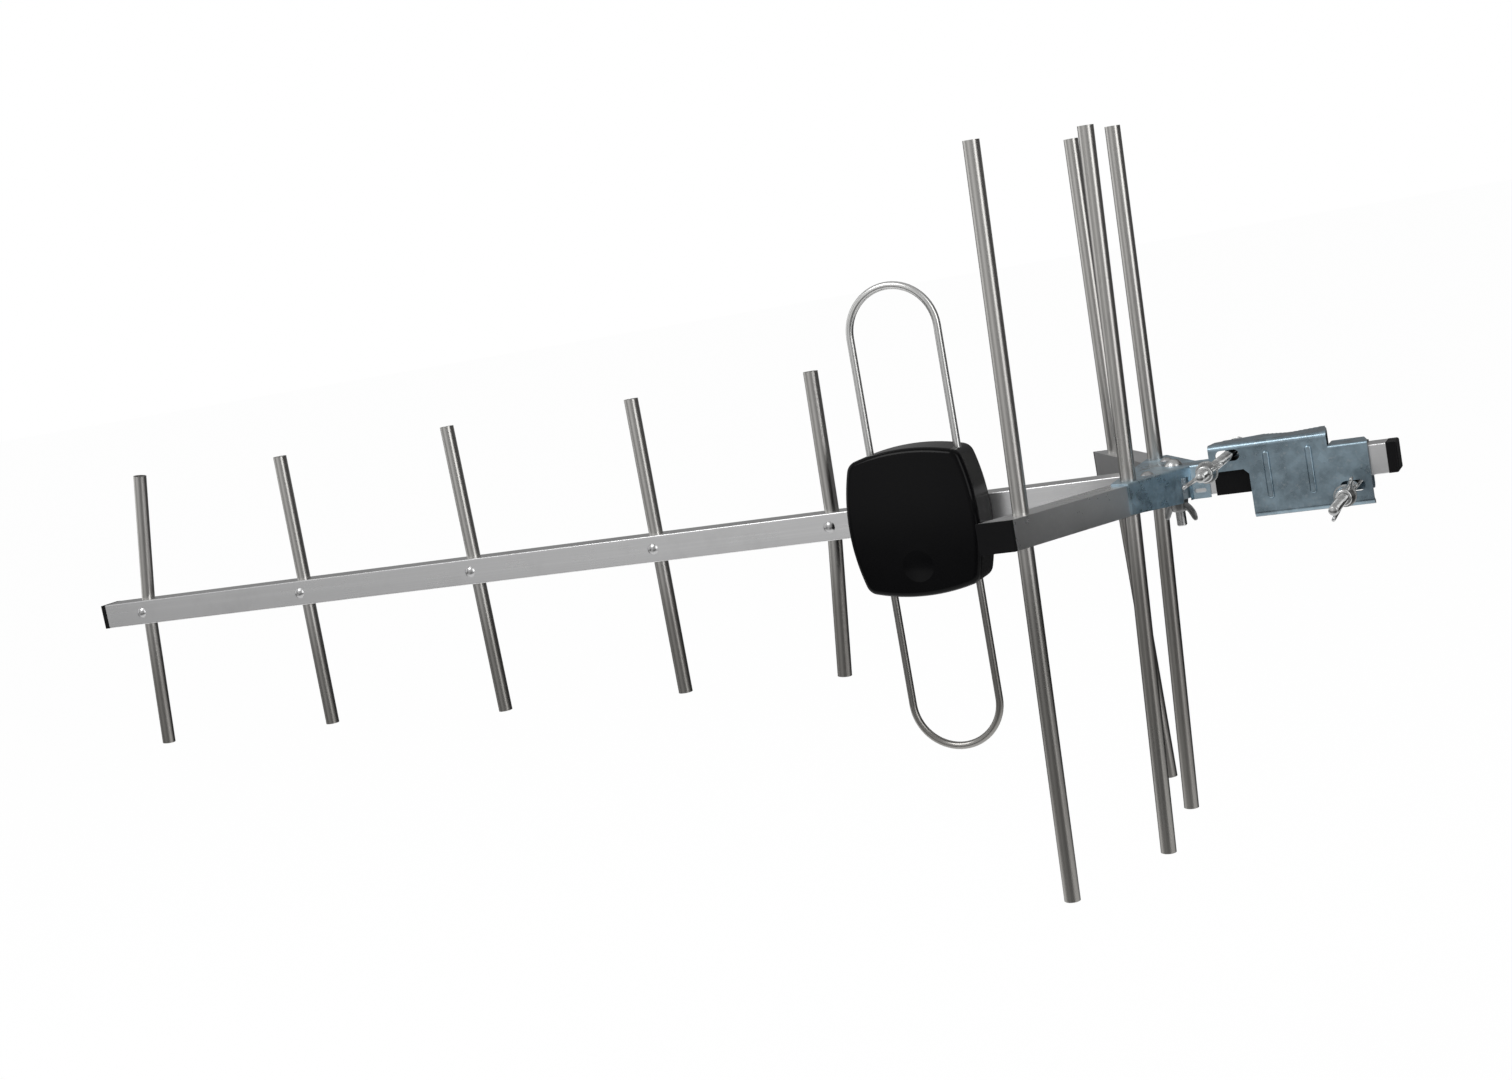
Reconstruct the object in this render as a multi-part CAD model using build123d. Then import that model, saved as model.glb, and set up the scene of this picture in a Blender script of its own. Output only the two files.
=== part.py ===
from build123d import *
import math
import os

# Outdoor television antenna: a square boom along X, its elements along Z, the mast behind it at +Y.
# The origin is on the boom's axis, at the middle of the mast clamp. All sizes are in millimetres.

# Boom and its end caps
boom_side = 15.0
boom_wall = 1.0
boom_front_x = -750.5
boom_rear_x = 46.5
front_cap_length = 4.0
rear_cap_length = 5.0
cap_plug_length = 10.0
cap_edge = 1.2
plug_clearance = 0.05

# Directors: place along the boom, lean of the upper half, lean of the lower half, half length
tube_radius = 4.0
tube_wall = 0.8
hole_clearance = 0.05
directors = [
    (-722.5, 10.4, 4.8, 87.0),
    (-599.4, 0.7, 0.7, 84.0),
    (-476.4, -0.6, -0.6, 86.0),
    (-355.0, 0.0, 0.0, 85.0),
    (-247.0, 1.3, 6.3, 84.5),
]

# Domed rivets
rivet_radius = 1.6
rivet_head_radius = 3.3
rivet_head_height = 1.7
rivet_tail_radius = 2.4
rivet_tail_length = 1.6
rivet_clearance = 0.05

# Folded dipole, a bent rod whose two ends meet inside the housing
dipole_x = -187.4
dipole_lean = 0.1
dipole_rod_radius = 2.0
dipole_leg_offset = 24.1
dipole_half_height = 123.2
dipole_end_gap = 14.0

# Housing: a pillow-shaped box on the boom's front face
box_x = -190.5
box_half_width = 36.0
box_half_height = 39.2
box_corner_x = 30.6
box_corner_z = 34.7
box_corner_radius = 7.0
box_wall = 2.2
base_depth = 13.0
lid_depth = 14.0
lid_round = 3.6
lid_crown = 1.8
snap_width = 12.0
snap_thickness = 1.2
snap_reach = 5.0
snap_gap = 0.35
snap_hook = 0.8
notch_width = 15.0
notch_drop = 24.0
notch_depth = 0.7
shell_gap = 0.1
leg_clearance = 0.1

# Matching board, its ferrite and the dipole's terminals
board_width = 62.0
board_height = 34.0
board_thickness = 1.6
board_post_height = 3.2
board_post_radius = 3.0
board_post_x = 12.0
board_post_z = 13.0
core_width = 14.0
core_height = 9.0
core_depth = 7.0
core_hole_radius = 1.9
core_hole_pitch = 6.6
terminal_width = 8.0
terminal_height = 9.0
terminal_screw_radius = 1.5
terminal_head_radius = 2.7
terminal_head_height = 1.8
wire_radius = 0.5

# Threaded socket for the cable plug, on the housing's back below the boom
socket_edge_inset = 16.2
socket_radius = 4.76
socket_neck_radius = 4.6
socket_neck_beyond_nut = 0.4
socket_bore_radius = 3.7
socket_flange_radius = 7.0
socket_flange_thickness = 1.6
socket_length = 11.0
socket_washer_thickness = 0.8
socket_nut_across = 12.0
socket_nut_thickness = 2.6
socket_contact_radius = 0.6

# Screws that hold the housing on the boom
box_screw_radius = 2.0
box_screw_head_radius = 3.9
box_screw_head_height = 2.3
box_screw_offset = 8.0
box_boss_radius = 4.0
box_boss_height = 2.6

# Reflector arms, mitred parallel to the boom at both ends, and the rods through them
arm_angle = 60.0
arm_vertex_x = -53.5
arm_reach = 114.5
arm_plug_flange = 1.5
arm_plug_length = 5.0
near_rod_place = 41.0
far_rod_place = 46.4
near_rod_inset = 16.7
far_rod_inset = 11.4
rod_half_length = 183.0
near_outer_rod_half_length = 184.0

# Folded sheet that carries the arms on the boom
sheet = 1.2
bracket_arm_length = 50.0
bracket_inner_x = -81.0
bracket_tail_x = -40.0
bracket_skirt_inner = 9.2
bracket_skirt_outer = 6.8
bracket_tail_skirt = 8.6
bracket_relief_x = -51.2
bracket_relief_width = 3.0
bracket_bend = 1.1
bracket_slot_length = 6.0
bracket_slot_height = 2.2
bracket_slot_drop = 4.6
bracket_rivet_place = 27.0

# Bolts, washers and wing nuts share one thread size
bolt_radius = 2.5
bolt_hole_clearance = 0.2
nut_clearance = 0.06
washer_radius = 5.4
washer_thickness = 1.0
nut_base_radius = 4.9
nut_top_radius = 4.0
nut_height = 6.5
nut_wing_span = 12.0
nut_wing_height = 11.5
nut_wing_thickness = 2.2
bracket_bolt_x = -58.5
bracket_bolt_tip = 15.0
bracket_bolt_head_radius = 4.6
bracket_bolt_head_height = 3.3

# Mast clamp: a front plate and a rear jaw, each a pressed channel with toothed flanges
clamp_sheet = 1.5
clamp_half_width = 38.3
clamp_middle = 19.5
plate_top = 17.0
plate_bottom = -21.3
left_wing_bottom = 3.6
right_wing_top = 9.95
wing_corner = 2.5
wing_lip = 17.5
plate_lip_y = 14.0
plate_ear_y = 3.0
plate_notch_y = 7.0
notch_half_width = 13.5
jaw_half_width = 35.5
jaw_middle = 15.8
end_slope = 3.2
jaw_top = 15.6
jaw_bottom = -17.4
jaw_wing_edge = 4.5
jaw_gap = 0.3
jaw_flange_length = 5.5
jaw_ear_length = 2.6
jaw_notch_gap = 1.2
tooth_pitch = 2.5
tooth_height = 1.1
clamp_bend = 2.6
wing_bend = 1.3
rib_x = 10.3
rib_top = 11.5
rib_bottom = -12.5
rib_radius = 1.6
rib_height = 1.2
clamp_bolt_x = 29.0
clamp_bolt_gap = 0.4
clamp_slot_length = 12.0
clamp_slot_gap = 0.3
clamp_bolt_front = 70.0
carriage_head_radius = 5.2
carriage_head_height = 2.6
carriage_neck = 5.0
carriage_neck_clearance = 0.1
lower_nut_place = 28.0
upper_nut_place = 52.0
lower_nut_turn = 60.0
upper_nut_turn = 25.0

# Black packing sleeve on the boom under the clamp
sleeve_wall = 0.8
sleeve_clearance = 0.05
sleeve_half_length = 37.0

# Places that follow from the sizes above
boom_half = boom_side / 2
box_back = -boom_half
socket_drop = box_half_height - socket_edge_inset
box_split = box_back - base_depth
box_front = box_split - lid_depth
dipole_y = box_split
arm_sine = math.sin(math.radians(arm_angle))
arm_cosine = math.cos(math.radians(arm_angle))
arm_end = arm_reach / arm_sine
near_outer_place = arm_end - near_rod_inset
far_outer_place = arm_end - far_rod_inset
# Side of the boom, place along the arm, lean of the upper half, lean of the lower half, half length
reflector_rods = [
    (-1, near_outer_place, 1.8, 1.8, near_outer_rod_half_length),
    (-1, near_rod_place, 2.1, 2.8, rod_half_length),
    (1, far_rod_place, 1.5, 3.0, rod_half_length),
    (1, far_outer_place, 1.0, -0.8, rod_half_length),
]
sleeve_half = boom_half + sleeve_clearance + sleeve_wall
plate_back = -sleeve_half
plate_front = plate_back - clamp_sheet
jaw_tip = plate_lip_y + jaw_gap
jaw_front = jaw_tip + jaw_flange_length
jaw_back = jaw_front + clamp_sheet
clamp_bolt_z = sleeve_half + bolt_radius + clamp_bolt_gap
upper_nut_base = upper_nut_place + washer_thickness
lower_nut_base = lower_nut_place + washer_thickness
bottom = (Align.CENTER, Align.CENTER, Align.MIN)
top = (Align.CENTER, Align.CENTER, Align.MAX)


# A bar through the origin along Z, its two halves leaning by their own angles and mitred where they meet
def bent_bar(radius, half_length, upper_lean, lower_lean):
    if upper_lean == lower_lean:
        return Rot(0, upper_lean, 0) * Cylinder(radius, 2 * half_length)
    mitre = Plane.XY.rotated((0, (upper_lean + lower_lean) / 2, 0))
    overlap = 2 * radius
    upper = Pos(0, 0, -overlap) * Cylinder(radius, half_length + overlap, align=bottom)
    lower = Pos(0, 0, overlap) * Cylinder(radius, half_length + overlap, align=top)
    upper = split(Rot(0, upper_lean, 0) * upper, bisect_by=mitre, keep=Keep.TOP)
    lower = split(Rot(0, lower_lean, 0) * lower, bisect_by=mitre, keep=Keep.BOTTOM)
    return upper + lower


# An open-ended tube of the same form
def bent_tube(half_length, upper_lean, lower_lean):
    outside = bent_bar(tube_radius, half_length, upper_lean, lower_lean)
    inside = bent_bar(tube_radius - tube_wall, half_length + 1, upper_lean, lower_lean)
    return outside - inside


# A cylinder along Y between two places, and one that stands along Z
def along_y(radius, start, end, x, z):
    return Pos(x, (start + end) / 2, z) * Rot(90, 0, 0) * Cylinder(radius, abs(end - start))


def along_z(radius, start, end, x, y):
    return Pos(x, y, (start + end) / 2) * Cylinder(radius, abs(end - start))


# A rounded dome of the given base radius and height, its base at the origin, rising along +Z
def dome(radius, height):
    ball = (radius ** 2 + height ** 2) / (2 * height)
    whole = Pos(0, 0, height - ball) * Sphere(ball)
    return whole & Cylinder(radius, height, align=bottom)


# Boom
def director_holes(x, upper_lean, lower_lean):
    bar = Pos(x, 0, 0) * bent_bar(tube_radius + hole_clearance, boom_side, upper_lean, lower_lean)
    rivet = along_y(rivet_radius + rivet_clearance, -boom_side, -boom_half + 2 * boom_wall, x, 0)
    return [bar, rivet]


def make_boom():
    length = boom_rear_x - boom_front_x
    middle = (boom_rear_x + boom_front_x) / 2
    tube = Pos(middle, 0, 0) * Box(length, boom_side, boom_side)
    tube = fillet(tube.edges().filter_by(Axis.X), 0.6)
    inner = boom_side - 2 * boom_wall
    cuts = [Pos(middle, 0, 0) * Box(length + 2, inner, inner)]
    for x, upper_lean, lower_lean, half_length in directors:
        cuts += director_holes(x, upper_lean, lower_lean)
    bolt_hole = bolt_radius + bolt_hole_clearance
    cuts.append(along_z(bolt_hole, -boom_side, boom_side, bracket_bolt_x, 0))
    for x in screw_places():
        cuts.append(along_y(box_screw_radius + rivet_clearance, -boom_side, boom_side, x, 0))
    return tube - cuts


def make_cap(length):
    head = Box(length, boom_side, boom_side, align=(Align.MAX, Align.CENTER, Align.CENTER))
    head = fillet(head.faces().sort_by(Axis.X)[0].edges(), cap_edge)
    inner = boom_side - 2 * boom_wall - 2 * plug_clearance
    plug = Box(cap_plug_length, inner, inner, align=(Align.MIN, Align.CENTER, Align.CENTER))
    hollow = Box(cap_plug_length, inner - 3, inner - 3, align=(Align.MIN, Align.CENTER, Align.CENTER))
    return head + plug - Pos(2, 0, 0) * hollow


def make_front_cap():
    return Pos(boom_front_x, 0, 0) * make_cap(front_cap_length)


def make_rear_cap():
    return Pos(boom_rear_x, 0, 0) * Rot(0, 0, 180) * make_cap(rear_cap_length)


# Directors and their rivets
def make_director(x, upper_lean, lower_lean, half_length):
    tube = bent_tube(half_length, upper_lean, lower_lean)
    hole = along_y(rivet_radius + rivet_clearance, -2 * tube_radius, 0, 0, 0)
    return Pos(x, 0, 0) * (tube - hole)


def make_rivet(grip, tail_radius):
    head = dome(rivet_head_radius, rivet_head_height)
    recess = Pos(0, 0, rivet_head_height) * Cylinder(rivet_radius / 2, 0.8)
    shank = Cylinder(rivet_radius, grip, align=top)
    tail = Pos(0, 0, -grip) * Cylinder(tail_radius, rivet_tail_length, align=top)
    return head + shank + tail - recess


def make_director_rivets():
    seat = math.sqrt((tube_radius - tube_wall) ** 2 - rivet_tail_radius ** 2)
    grip = boom_half - seat + rivet_clearance
    rivet = make_rivet(grip, rivet_tail_radius)
    return [Pos(entry[0], -boom_half, 0) * Rot(90, 0, 0) * rivet for entry in directors]


# Folded dipole
def dipole_path():
    straight = dipole_half_height - dipole_leg_offset
    left = -dipole_leg_offset
    right = dipole_leg_offset
    gap = dipole_end_gap / 2
    return Wire([
        Line((left, 0, gap), (left, 0, straight)),
        ThreePointArc((left, 0, straight), (0, 0, dipole_half_height), (right, 0, straight)),
        Line((right, 0, straight), (right, 0, -straight)),
        ThreePointArc((right, 0, -straight), (0, 0, -dipole_half_height), (left, 0, -straight)),
        Line((left, 0, -straight), (left, 0, -gap)),
    ])


def make_dipole_loop():
    path = dipole_path()
    section = Plane(origin=path @ 0, z_dir=path % 0) * Circle(dipole_rod_radius)
    return dipole_place() * sweep(section, path=path)


# Housing: the outline has four bowed sides and round corners, drawn in X and Z
def box_outline(inset):
    half_width = box_half_width - inset
    half_height = box_half_height - inset
    corner_x = box_corner_x - inset
    corner_z = box_corner_z - inset
    sides = [
        ThreePointArc((-corner_x, corner_z), (0, half_height), (corner_x, corner_z)),
        ThreePointArc((corner_x, corner_z), (half_width, 0), (corner_x, -corner_z)),
        ThreePointArc((corner_x, -corner_z), (0, -half_height), (-corner_x, -corner_z)),
        ThreePointArc((-corner_x, -corner_z), (-half_width, 0), (-corner_x, corner_z)),
    ]
    face = make_face(Wire(sides))
    return fillet(face.vertices(), max(box_corner_radius - inset / 2, 1.0))


# The outline extruded along Y from one depth to another
def box_slab(inset, start, end):
    place = Plane(origin=(box_x, start, 0), x_dir=(1, 0, 0), z_dir=(0, -1, 0))
    return extrude(place * box_outline(inset), start - end)


def dipole_place():
    return Pos(dipole_x, dipole_y, 0) * Rot(0, dipole_lean, 0)


def leg_cuts():
    bar = Cylinder(dipole_rod_radius + leg_clearance, 2 * dipole_half_height)
    return [dipole_place() * Pos(side * dipole_leg_offset, 0, 0) * bar for side in (-1, 1)]


def screw_places():
    return [box_x - box_screw_offset, box_x + box_screw_offset]


def make_box_base():
    floor = box_back - box_wall
    shell = box_slab(0, box_back, box_split)
    shell = fillet(shell.faces().sort_by(Axis.Y)[-1].edges(), 1.0)
    base = shell - box_slab(box_wall, floor, box_split - 1)
    for x, z in board_posts():
        base += along_y(board_post_radius, box_back - 0.5, floor - board_post_height, x, z)
    for x in screw_places():
        base += along_y(box_boss_radius, box_back - 0.5, floor - box_boss_height, x, 0)
        base -= along_y(box_screw_radius + rivet_clearance, box_back + 1, floor - box_boss_height - 1, x, 0)
    base -= along_y(socket_neck_radius + shell_gap, box_back + 1, floor - 1, box_x, -socket_drop)
    inner_face = box_half_height - box_wall
    recess = Box(snap_width + 1, 1.6, 2 * (snap_hook + 0.3))
    for side in (-1, 1):
        base -= Pos(box_x, box_split + snap_reach - 1.0, side * inner_face) * recess
    return base - leg_cuts()


# The lid: a rounded rim, a slightly crowned face, a thumb notch and two snap tongues
def make_snap():
    face = box_half_height - box_wall - snap_gap
    tongue = Pos(0, -2.0, face) * Box(
        snap_width, snap_reach + 2.0, snap_thickness, align=(Align.CENTER, Align.MIN, Align.MAX)
    )
    foot = Pos(0, -0.2, face - snap_thickness) * Box(
        snap_width, 3.0, 3.0, align=(Align.CENTER, Align.MAX, Align.MIN)
    )
    hook = Pos(0, snap_reach - 1.0, face - 0.5) * Box(
        snap_width, 1.0, snap_hook + 0.5, align=(Align.CENTER, Align.CENTER, Align.MIN)
    )
    return tongue + foot + hook


def make_box_lid():
    reach = math.hypot(box_corner_x, box_corner_z)
    ball = (reach ** 2 + lid_crown ** 2) / (2 * lid_crown)
    lid = box_slab(0, box_split, box_front - 1) & Pos(box_x, box_front + ball, 0) * Sphere(ball)
    lid = fillet(lid.faces().sort_by(Axis.Y)[0].edges(), lid_round)
    lid -= box_slab(box_wall, box_split + 1, box_front + box_wall + lid_crown)
    for turn in (0, 180):
        lid += Pos(box_x, box_split, 0) * Rot(0, turn, 0) * make_snap()
    notch_ball = (notch_width ** 2 / 4 + notch_depth ** 2) / (2 * notch_depth)
    lid -= Pos(box_x, box_front - notch_ball + 2 * notch_depth, -notch_drop) * Sphere(notch_ball)
    return lid - leg_cuts()


# Matching board, ferrite, terminals
def board_posts():
    return [(box_x + sx * board_post_x, sz * board_post_z) for sx in (-1, 1) for sz in (-1, 1)]


board_back = box_back - box_wall - board_post_height
board_front = board_back - board_thickness


def make_balun_board():
    board = Box(board_width, board_thickness, board_height, align=(Align.CENTER, Align.MAX, Align.CENTER))
    board = fillet(board.edges().filter_by(Axis.Y), 2.0)
    return Pos(box_x, board_back, 0) * board


def make_balun_core():
    core = Box(core_width, core_depth, core_height, align=(Align.CENTER, Align.MAX, Align.CENTER))
    core = fillet(core.edges().filter_by(Axis.Z), core_depth / 2 - 0.1)
    for side in (-1, 1):
        hole = Cylinder(core_hole_radius, core_height + 2)
        core -= Pos(side * core_hole_pitch / 2, -core_depth / 2, 0) * hole
    return Pos(box_x, board_front, 0) * core


terminal_front = dipole_y - dipole_rod_radius - 2.0


def terminal_place(side):
    along = side * (dipole_end_gap / 2 + terminal_height / 2 - 0.5)
    return dipole_place() * Pos(-dipole_leg_offset, -dipole_y, along)


def make_terminal_blocks():
    blocks = []
    for side in (-1, 1):
        depth = board_front - terminal_front
        block = Pos(0, board_front - depth / 2, 0) * Box(terminal_width, depth, terminal_height)
        block -= along_z(dipole_rod_radius + plug_clearance, -terminal_height, terminal_height, 0, dipole_y)
        block -= along_y(terminal_screw_radius + plug_clearance, terminal_front - 1, dipole_y, 0, 0)
        blocks.append(terminal_place(side) * block)
    return blocks


def make_terminal_screws():
    head = along_y(terminal_head_radius, terminal_front - terminal_head_height, terminal_front, 0, 0)
    slot = Pos(0, terminal_front - terminal_head_height, 0) * Box(2 * terminal_head_radius + 1, 1.4, 0.8)
    tip = dipole_y - dipole_rod_radius - plug_clearance
    shank = along_y(terminal_screw_radius, terminal_front, tip, 0, 0)
    return [terminal_place(side) * (head - slot + shank) for side in (-1, 1)]


# Two short wires from the terminals into the ferrite's holes
def make_balun_wires():
    wires = []
    level = board_front - core_depth / 2
    for side in (-1, 1):
        terminal = terminal_place(side).position
        hole_x = box_x - side * core_hole_pitch / 2
        start = (terminal.X + terminal_width / 2 + 0.3, level, terminal.Z)
        turn = (hole_x, level, terminal.Z)
        end = (hole_x, level, side * (core_height / 2 - 2.0))
        path = FilletPolyline(start, turn, end, radius=2.0)
        section = Plane(origin=path @ 0, z_dir=path % 0) * Circle(wire_radius)
        wires.append(sweep(section, path=path))
    return wires


# Threaded socket
def make_f_socket():
    floor = box_back - box_wall
    shoulder = box_back + socket_washer_thickness + socket_nut_thickness + socket_neck_beyond_nut
    end = box_back + socket_length
    flange = along_y(socket_flange_radius, floor - socket_flange_thickness, floor, box_x, -socket_drop)
    neck = along_y(socket_neck_radius, floor, shoulder, box_x, -socket_drop)
    barrel = along_y(socket_radius, shoulder, end, box_x, -socket_drop)
    barrel = chamfer(barrel.faces().sort_by(Axis.Y)[-1].edges(), 0.4)
    bore = along_y(socket_bore_radius, floor, end + 1, box_x, -socket_drop)
    return flange + neck + barrel - bore


def make_socket_insert():
    floor = box_back - box_wall
    end = box_back + socket_length - 1.0
    body = along_y(socket_bore_radius, floor, end, box_x, -socket_drop)
    hole = along_y(socket_contact_radius, end - 6, end + 1, box_x, -socket_drop)
    return body - hole


def make_socket_washer():
    end = box_back + socket_washer_thickness
    ring = along_y(socket_flange_radius, box_back, end, box_x, -socket_drop)
    return ring - along_y(socket_neck_radius + plug_clearance, box_back - 1, end + 1, box_x, -socket_drop)


def make_socket_nut():
    start = box_back + socket_washer_thickness
    hexagon = RegularPolygon(socket_nut_across / 2, 6, major_radius=False)
    nut = extrude(hexagon, socket_nut_thickness) - Cylinder(socket_neck_radius + plug_clearance, 20)
    return Pos(box_x, start, -socket_drop) * Rot(-90, 0, 0) * nut


# Screws from the boom's back into the housing
def make_box_screws():
    tip = box_back - box_wall - box_boss_height
    screws = []
    for x in screw_places():
        head = Pos(x, boom_half, 0) * Rot(-90, 0, 0) * dome(box_screw_head_radius, box_screw_head_height)
        head -= Pos(x, boom_half + box_screw_head_height, 0) * Box(5.0, 2.4, 1.0)
        head -= Pos(x, boom_half + box_screw_head_height, 0) * Box(1.0, 2.4, 5.0)
        screws.append(head + along_y(box_screw_radius, tip, boom_half, x, 0))
    return screws


# Reflector arms: the near one has side -1, the far one +1. A point is given by its place along the arm's
# axis and its offset towards the outer face, the one that looks at the mast.
def arm_point(side, place, offset):
    x = arm_vertex_x - place * arm_cosine + offset * arm_sine
    y = side * (place * arm_sine + offset * arm_cosine)
    return x, y


# A block of the arm's section between two planes parallel to the boom
def arm_block(side, half_side, start, end):
    points = []
    for offset, reach in ((half_side, start), (half_side, end), (-half_side, end), (-half_side, start)):
        place = (reach - offset * arm_cosine) / arm_sine
        points.append(arm_point(side, place, offset))
    face = make_face(Polyline(*points, close=True))
    return Pos(0, 0, -half_side) * extrude(face, 2 * half_side, dir=(0, 0, 1))


def rod_bar(entry, radius, half_length):
    side, place, upper_lean, lower_lean = entry[:4]
    x, y = arm_point(side, place, 0)
    return Pos(x, y, 0) * bent_bar(radius, half_length, upper_lean, lower_lean)


def make_arm(side):
    inner = boom_half - boom_wall
    arm = arm_block(side, boom_half, boom_half, arm_reach)
    arm -= arm_block(side, inner, boom_half - 1, arm_reach + 1)
    for entry in reflector_rods:
        if entry[0] == side:
            arm -= rod_bar(entry, tube_radius + hole_clearance, boom_side)
    x, y = arm_point(side, bracket_rivet_place, 0)
    return arm - along_z(rivet_radius + rivet_clearance, 0, boom_side, x, y)


def make_arm_plugs():
    plugs = []
    for side in (-1, 1):
        flange = arm_block(side, boom_half, arm_reach, arm_reach + arm_plug_flange)
        inner = boom_half - boom_wall - plug_clearance
        body = arm_block(side, inner, arm_reach - arm_plug_length, arm_reach)
        plugs.append(flange + body)
    return plugs


def make_rod(entry):
    outside = rod_bar(entry, tube_radius, entry[4])
    return outside - rod_bar(entry, tube_radius - tube_wall, entry[4] + 1)


# Folded sheet: a fan-shaped top, a skirt down the arms' outer faces and a saddle over the boom.
# The outline is drawn in X and Y, its outer sides moved out by the given amount.
def bracket_outline(grow):
    outer = boom_half + grow
    joint = outer * (1 - arm_cosine) / arm_sine
    sides = []
    for side in (-1, 1):
        sides.append([
            (bracket_tail_x, side * outer),
            arm_point(side, joint, outer),
            arm_point(side, bracket_arm_length, outer),
            arm_point(side, bracket_arm_length, bracket_corner_offset),
        ])
    return make_face(Polyline(*sides[0], *reversed(sides[1]), close=True))


# Where the plate's straight inner edge meets the plate's end over an arm
bracket_corner_offset = (bracket_inner_x - arm_vertex_x + bracket_arm_length * arm_cosine) / arm_sine


def make_reflector_bracket():
    height = bracket_skirt_inner + boom_half + sheet
    body = Pos(0, 0, -bracket_skirt_inner) * extrude(bracket_outline(sheet), height)
    rim = body.faces().sort_by(Axis.Z)[-1].edges()
    end_x = arm_point(1, bracket_arm_length, boom_half + sheet)[0]
    folded = [edge for edge in rim if edge.bounding_box().min.X > end_x - 0.1 and abs(edge.center().Y) > 1]
    body = fillet(folded, bracket_bend)
    body -= Pos(0, 0, -bracket_skirt_inner - 1) * extrude(bracket_inside(), height - sheet + 1)
    for side in (-1, 1):
        body -= skirt_trim(side)
        relief_y = side * (boom_half + 5.0)
        relief = Box(bracket_relief_width, 10.0, 40.0, align=(Align.CENTER, Align.CENTER, Align.MAX))
        body -= Pos(bracket_relief_x, relief_y, boom_half - 4.0) * relief
        low = Box(40.0, 10.0, 10.0, align=(Align.MIN, Align.CENTER, Align.MAX))
        body -= Pos(bracket_relief_x, relief_y, -bracket_tail_skirt) * low
    for entry in reflector_rods:
        if entry[1] < bracket_arm_length:
            body -= rod_bar(entry, tube_radius + hole_clearance, 2 * boom_side)
    body -= along_z(bolt_radius + bolt_hole_clearance, 0, 2 * boom_side, bracket_bolt_x, 0)
    for side in (-1, 1):
        x, y = arm_point(side, bracket_rivet_place, 0)
        body -= along_z(rivet_radius + rivet_clearance, 0, 2 * boom_side, x, y)
    slot = SlotOverall(bracket_slot_length, bracket_slot_height)
    slot_x = (bracket_tail_x + bracket_relief_x + bracket_relief_width / 2) / 2
    place = Plane(origin=(slot_x, boom_side, -bracket_slot_drop), x_dir=(1, 0, 0), z_dir=(0, -1, 0))
    return body - extrude(place * slot, 2 * boom_side)


# The space between the skirts and the saddle's sides, which runs out past the open edges
def bracket_inside():
    joint = boom_half * (1 - arm_cosine) / arm_sine
    sides = []
    for side in (-1, 1):
        sides.append([
            (bracket_tail_x + 1, side * boom_half),
            arm_point(side, joint, boom_half),
            arm_point(side, bracket_arm_length + 1, boom_half),
            arm_point(side, bracket_arm_length + 1, -2 * boom_half),
        ])
    return make_face(Polyline(*sides[0], (bracket_inner_x - 20, 0), *reversed(sides[1]), close=True))


# What the skirt's sloping lower edge leaves out along one arm
def skirt_trim(side):
    drop = bracket_skirt_inner + 5
    outline = [
        (10.0, -bracket_skirt_inner), (bracket_arm_length + 1, -bracket_skirt_outer),
        (bracket_arm_length + 1, -drop), (10.0, -drop),
    ]
    points = []
    for place, z in outline:
        x, y = arm_point(side, place, boom_half - 2)
        points.append((x, y, z))
    face = make_face(Polyline(*points, close=True))
    return extrude(face, 2 * sheet + 4, dir=(arm_sine, side * arm_cosine, 0))


def make_bracket_rivets():
    rivets = []
    for side in (-1, 1):
        x, y = arm_point(side, bracket_rivet_place, 0)
        rivets.append(Pos(x, y, boom_half + sheet) * make_rivet(sheet + boom_wall, rivet_tail_radius))
    return rivets


# Threaded pieces
def make_bracket_bolt():
    seat = boom_half + sheet
    head = Pos(bracket_bolt_x, 0, seat) * dome(bracket_bolt_head_radius, bracket_bolt_head_height)
    head -= Pos(bracket_bolt_x, 0, seat + bracket_bolt_head_height) * Box(6.0, 1.1, 2.6)
    shank = along_z(bolt_radius, seat, -boom_half - bracket_bolt_tip, bracket_bolt_x, 0)
    shank = chamfer(shank.faces().sort_by(Axis.Z)[0].edges(), 0.5)
    return head + shank


def make_washer():
    ring = Cylinder(washer_radius, washer_thickness, align=bottom)
    return ring - Cylinder(bolt_radius + nut_clearance, 4 * washer_thickness)


# The wing nut stands on its base at the origin, its wings spread along X
def make_wing_nut():
    hub = Cone(nut_base_radius, nut_top_radius, nut_height, align=bottom)
    outline = Polyline(
        (2.5, 1.0), (6.5, 1.6), (nut_wing_span, 7.0), (nut_wing_span - 0.6, nut_wing_height),
        (nut_wing_span - 4.2, nut_wing_height - 0.6), (5.2, 6.2), (2.5, 5.6), close=True,
    )
    face = make_face(outline)
    tips = face.vertices().sort_by(Axis.X)[-3:]
    face = fillet(tips, 1.4)
    wing = extrude(Plane.XZ * face, nut_wing_thickness / 2, both=True)
    nut = hub + wing + Rot(0, 0, 180) * wing
    return nut - Cylinder(bolt_radius + nut_clearance, 4 * nut_wing_height)


def make_bracket_washer():
    return Pos(bracket_bolt_x, 0, -boom_half) * Rot(180, 0, 0) * make_washer()


def make_bracket_wing_nut():
    seat = -boom_half - washer_thickness
    return Pos(bracket_bolt_x, 0, seat) * Rot(180, 0, 35) * make_wing_nut()


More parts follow.
